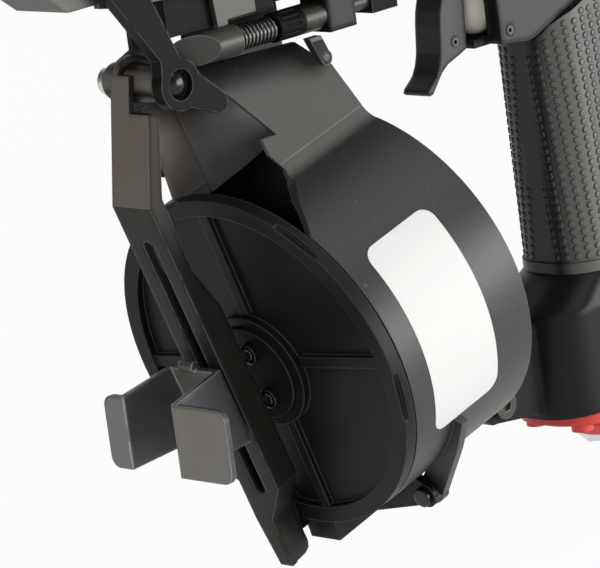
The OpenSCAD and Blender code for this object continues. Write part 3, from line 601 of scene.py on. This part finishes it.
# %% Make a piece
def add_piece(name, points, faces, finish, body, smooth=True):
    mesh = bpy.data.meshes.new(name)
    mesh.from_pydata([tuple(p) for p in points], [], faces)
    mesh.polygons.foreach_set("use_smooth", [smooth] * len(mesh.polygons))
    mesh.materials.append(finishes[finish])
    mesh.update()
    piece = bpy.data.objects.new(name, mesh)
    bpy.context.scene.collection.objects.link(piece)
    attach(piece, body)
    print(f"{name}: {len(mesh.vertices)} points, {len(mesh.polygons)} faces")
    return piece


def tube(path, radius, sides):
    """Points and faces of a closed round tube along a path about the X axis."""
    points = []
    last = len(path) - 1
    for i, centre in enumerate(path):
        along = (path[min(i + 1, last)] - path[max(i - 1, 0)]).normalized()
        outward = Vector((0, centre.y, centre.z)).normalized()
        side = along.cross(outward).normalized()
        rise = side.cross(along)
        for k in range(sides):
            a = 2 * math.pi * k / sides
            points.append(centre + radius * (math.cos(a) * rise + math.sin(a) * side))
    faces = [list(range(sides))]
    for i in range(last):
        for k in range(sides):
            a = i * sides + k
            b = i * sides + (k + 1) % sides
            faces.append([a, a + sides, b + sides, b])
    faces.append([last * sides + k for k in reversed(range(sides))])
    return points, faces


# %% [markdown]
# ## Springs
# The solids draw a curl with eight straight steps. Here the same wire is round and smooth: the
# coil's length and width are read from the solid, and it has as many curls.

# %% Springs
steps_per_curl = 32
wire_sides = 12


def wind(node, curls, wire, joint, axis):
    low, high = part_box(node)
    long_way = (high - low).dot(axis)
    mean_r = ((high.y - low.y) - wire) / 2
    centre = (low + high) / 2
    start = centre - axis * long_way / 2
    run = long_way - 2 * wire
    path = [Vector((0, mean_r, 0))]
    for i in range(curls * steps_per_curl + 1):
        share = i / (curls * steps_per_curl)
        turn = 2 * math.pi * curls * share
        path.append(Vector((wire + run * share, mean_r * math.cos(turn), mean_r * math.sin(turn))))
    path.append(Vector((long_way, mean_r, 0)))
    points, faces = tube(path, wire / 2, wire_sides)
    upright = axis.z > 0.5
    lift = Matrix.Rotation(math.radians(-90), 3, "Y") if upright else Matrix.Identity(3)
    placed = [start + lift @ p for p in points]
    piece = add_piece(f"{node}_wound", placed, faces, "spring_wire", "tool")
    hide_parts(node)
    travel = next(j["range_m"][1] for j in frame["joints"] if j["name"] == joint)
    1 - travel / long_way
    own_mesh(piece)


along_x = Vector((1, 0, 0))
along_z = Vector((0, 0, 1))
wind("contact_spring", curls=9, wire=0.9 * mm, joint="contact_slide",
     axis=along_x)
wind("head_valve_spring", curls=6, wire=2.0 * mm, joint="head_valve_slide",
     axis=along_x)
wind("feed_spring", curls=2, wire=1.0 * mm, joint="feed_slide", axis=along_z)

# %% [markdown]
# ## Pimples of the grip
# The rubber sleeve is covered with flat round buttons in columns. A bump map would vanish at the
# outline, where the photograph shows each button as a small step, so the buttons are geometry. The
# first cells say where the sleeve's surface is: its outline seen from above is a rectangle with
# round corners, and its upper edge slants.

# %% Outline of the sleeve
grip_low, grip_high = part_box("grip")
lip = 1.0 * mm
sleeve_front = grip_low.x + lip
sleeve_back = grip_high.x - lip
half_width = grip_high.y - lip
corner_r = 14 * mm
flat_front = half_width - corner_r
flat_side = sleeve_back - sleeve_front - 2 * corner_r
corner_arc = math.pi / 2 * corner_r
half_round = 2 * flat_front + flat_side + 2 * corner_arc


def on_sleeve(s):
    """Place and outward direction at the distance s round one side, from the front's middle."""
    if s < flat_front:
        return (sleeve_front, s), (-1, 0)
    s -= flat_front
    if s < corner_arc:
        a = s / corner_r
        place = (sleeve_front + corner_r * (1 - math.cos(a)), flat_front + corner_r * math.sin(a))
        return place, (-math.cos(a), math.sin(a))
    s -= corner_arc
    if s < flat_side:
        return (sleeve_front + corner_r + s, half_width), (0, 1)
    a = min((s - flat_side) / corner_r, math.pi / 2)
    place = (sleeve_back - corner_r * (1 - math.sin(a)), flat_front + corner_r * math.cos(a))
    return place, (math.sin(a), math.cos(a))


print(f"half way round the sleeve: {half_round / mm:.1f} mm")

# %% Upper edge of the sleeve
edge_mm = [(222, -69.2), (225.4, -64), (229, -61.6), (234, -59.6), (239, -57.6), (270, -45.2)]


def sleeve_top(x):
    """Height of the sleeve's slanted upper edge."""
    for (x0, z0), (x1, z1) in zip(edge_mm, edge_mm[1:]):
        if x <= x1 * mm:
            return (z0 + (z1 - z0) * max(0, x / mm - x0) / (x1 - x0)) * mm
    return edge_mm[-1][1] * mm


print(f"the edge rises from {edge_mm[0][1]} to {edge_mm[-1][1]} mm")

# %% [markdown]
# ### One button
# A button is four rings of points that go up and inwards, from just under the rubber to a flat top.
# The lowest ring is sunk, so no gap shows where the sleeve is curved.

# %% One button
button_r = 1.3 * mm
button_h = 0.42 * mm
button_sides = 10
button_rings = [(1.0, -0.15), (0.98, 0.55), (0.88, 0.88), (0.70, 1.0)]


def button(centre, out):
    """Points of a button: each ring is a share of its radius at a share of its height."""
    rise = Vector((0, 0, 1))
    across = rise.cross(out)
    points = []
    for share, height in button_rings:
        for k in range(button_sides):
            a = 2 * math.pi * k / button_sides
            flat = across * math.cos(a) + rise * math.sin(a)
            points.append(centre + button_r * share * flat + button_h * height * out)
    return points


def button_faces(first):
    top = len(button_rings) - 1
    faces = [[first + k for k in range(button_sides)]]
    for ring in range(top):
        for k in range(button_sides):
            a = first + ring * button_sides + k
            b = first + ring * button_sides + (k + 1) % button_sides
            faces.append([a, a + button_sides, b + button_sides, b])
    faces.append([first + top * button_sides + k for k in reversed(range(button_sides))])
    return faces


# %% [markdown]
# ### Rows of buttons
# The columns lean back by a few degrees, and a band down the front and the back stays smooth.
# Buttons that would cross the slanted edge are left out.

# %% Rows of buttons
row_step = 3.0 * mm
row_count = 36
lowest_row = grip_low.z + 6.0 * mm
column_step = 4.1 * mm
column_lean = 0.086
lean_from = -50 * mm
front_band = 3.6 * mm
first_column = front_band + 2 * mm
edge_margin = 2.6 * mm
points = []
faces = []
for side in (-1, 1):
    for row in range(row_count):
        z = lowest_row + row * row_step
        for column in range(-3, 20):
            s = first_column + column * column_step + column_lean * (lean_from - z)
            if not front_band < s < half_round - front_band:
                continue
            (x, y), (nx, ny) = on_sleeve(s)
            if z > sleeve_top(x) - edge_margin:
                continue
            faces += button_faces(len(points))
            points += button(Vector((x, side * y, z)), Vector((nx, side * ny, 0)))
add_piece("grip_pimples", points, faces, "grip_rubber", "tool")

# %% [markdown]
# ## Blank sticker on the drum
# The sticker follows the drum's curve. Its outline is a rectangle with round corners, laid out
# flat as arc length and depth, and then bent round the drum. A colour on the cover itself would be
# simpler, but film has a thickness, and its edge casts a fine line of shade.

# %% Blank sticker
drum_centre = Vector((73, -10, -145)) * mm
drum_tilt = math.radians(15)
drum_r = 62 * mm


def on_drum(turn, depth, radius):
    """A point from its angle round the drum, its depth along the axis and its radius."""
    rise = radius * math.cos(turn)
    x = -rise * math.sin(drum_tilt) + depth * math.cos(drum_tilt)
    z = rise * math.cos(drum_tilt) + depth * math.sin(drum_tilt)
    return drum_centre + Vector((x, -radius * math.sin(turn), z))


def film(name, arc, depth, corner, lift, thick, finish):
    """A thin closed film on the drum between two arc lengths and two depths."""
    rows = 48
    across = 10
    layers = []
    for height in (lift, lift + thick):
        layer = []
        for i in range(rows + 1):
            share = (1 - math.cos(math.pi * i / rows)) / 2
            s = arc[0] + (arc[1] - arc[0]) * share
            past = corner - min(s - arc[0], arc[1] - s)
            inset = corner - math.sqrt(corner ** 2 - past ** 2) if past > 0 else 0
            for j in range(across + 1):
                d = depth[0] + inset + (depth[1] - depth[0] - 2 * inset) * j / across
                layer.append(on_drum(s / drum_r, d, drum_r + height))
        layers.append(layer)
    wide = across + 1
    count = len(layers[0])
    faces = []
    for i in range(rows):
        for j in range(across):
            a = i * wide + j
            quad = [a, a + 1, a + wide + 1, a + wide]
            faces.append([v + count for v in quad])
            faces.append(quad[::-1])
    rim = [j for j in range(wide)]
    rim += [i * wide + across for i in range(1, rows + 1)]
    rim += [rows * wide + j for j in reversed(range(across))]
    rim += [i * wide for i in reversed(range(1, rows))]
    for a, b in zip(rim, rim[1:] + rim[:1]):
        faces.append([b, a, a + count, b + count])
    return add_piece(name, layers[0] + layers[1], faces, finish, "cover", False)


film("blank_sticker", arc=(57 * mm, 129.2 * mm), depth=(13 * mm, 45.6 * mm), corner=5 * mm,
     lift=0.03 * mm, thick=0.09 * mm, finish="sticker_film")

# %% [markdown]
# ## Floor and light
# The photograph's background is plain white. The camera looks down on the floor, so a large pale
# floor fills the frame; for rays that show it, part of its light is its own, which keeps it white
# and leaves a soft shadow. It lies just below the lowest point that the open cover reaches, and it
# is so wide that its far edge is close to the horizon. The light is one wide soft box on the
# viewer's right, which gives the side faces their grey sheen, with weak ones in front, above and
# behind, and a small lamp for the glints on the screws.

# %% Floor
floor_size = 40.0
floor_drop = 31 * mm
floor_z = cad_box[0].z - floor_drop
floor_mesh = bpy.data.meshes.new("floor")
half = floor_size / 2
corners = [(-half, -half), (half, -half), (half, half), (-half, half)]
floor_mesh.from_pydata([(x, y, floor_z) for x, y in corners], [], [[0, 1, 2, 3]])
floor = bpy.data.objects.new("floor", floor_mesh)
bpy.context.scene.collection.objects.link(floor)
print(f"floor at {floor_z / mm:.1f} mm")

# %% Floor finish
floor_share = 0.955
floor_finish = bpy.data.materials.new("floor")
floor_finish.use_nodes = True
tree = floor_finish.node_tree
tree.nodes.clear()
path_node = tree.nodes.new("ShaderNodeLightPath")
seen = Wire(tree, path_node.outputs["Is Camera Ray"])
seen = seen + Wire(tree, path_node.outputs["Is Glossy Ray"])
seen = seen + Wire(tree, path_node.outputs["Is Transmission Ray"])
paper = seen.make("ShaderNodeBsdfDiffuse", {}, {"Color": (0.9, 0.9, 0.9, 1)})
glow = seen.make("ShaderNodeEmission", {}, {"Color": (1, 1, 1, 1), "Strength": 1.0})
blend = seen.make("ShaderNodeMixShader", {}, {0: seen * floor_share, 1: paper, 2: glow})
output = tree.nodes.new("ShaderNodeOutputMaterial")
tree.links.new(blend.socket, output.inputs["Surface"])
floor_mesh.materials.append(floor_finish)
print(f"{floor_share:.1%} of the floor's light is its own")

# %% Soft boxes
object_centre = (cad_box[0] + cad_box[1]) / 2


def soft_box(name, direction, distance, width, height, power):
    lamp = bpy.data.lights.new(name, "AREA")
    lamp.shape = "RECTANGLE"
    lamp.size = width
    lamp.size_y = height
    lamp.energy = power
    box = bpy.data.objects.new(name, lamp)
    way = Vector(direction).normalized()
    box.location = object_centre + way * distance
    box.rotation_euler = (-way).to_track_quat("-Z", "Y").to_euler()
    bpy.context.scene.collection.objects.link(box)


soft_box("key_right", (0.62, -0.78, 0.05), distance=1.1, width=0.85, height=0.45, power=10.2)
soft_box("fill_left", (-0.9, -0.5, 0.45), distance=1.4, width=0.8, height=0.8, power=3.8)
soft_box("top", (0.3, -0.5, 1.0), distance=1.3, width=0.9, height=0.9, power=4.2)
soft_box("back", (0.3, 0.9, 0.35), distance=1.4, width=1.0, height=1.0, power=3)
soft_box("spark", (-0.5, -0.75, 0.40), distance=1.2, width=0.10, height=0.10, power=0.7)
print("four soft boxes and a small lamp for the glints")

# %% [markdown]
# ## Studio surround
# What a glossy surface mirrors matters as much as the lamps. The surround is pale near the horizon
# and dim overhead, like a room with white walls, so tops stay dark and sides catch light.

# %% Studio surround
world = bpy.data.worlds.new("studio")
world.use_nodes = True
bpy.context.scene.world = world
tree = world.node_tree
background = tree.nodes["Background"]
way = Wire(tree, tree.nodes.new("ShaderNodeTexCoord").outputs["Generated"])
height = way.axis("Z")
stops = [(0.0, (0.5, 0.5, 0.5)), (0.12, (0.5, 0.5, 0.5)), (0.5, (0.16, 0.16, 0.16)),
         (1.0, (0.10, 0.10, 0.10))]
sky = height.make("ShaderNodeValToRGB", {"stops": stops}, {0: height})
tree.links.new(sky.socket, background.inputs["Color"])
background.inputs["Strength"].default_value = 0.7
print("surround ready")

# %% [markdown]
# ## View
# The Standard view shows a colour about as it is written, which a filmic one wouldn't.

# %% View
bpy.context.scene.view_settings.view_transform = "Standard"
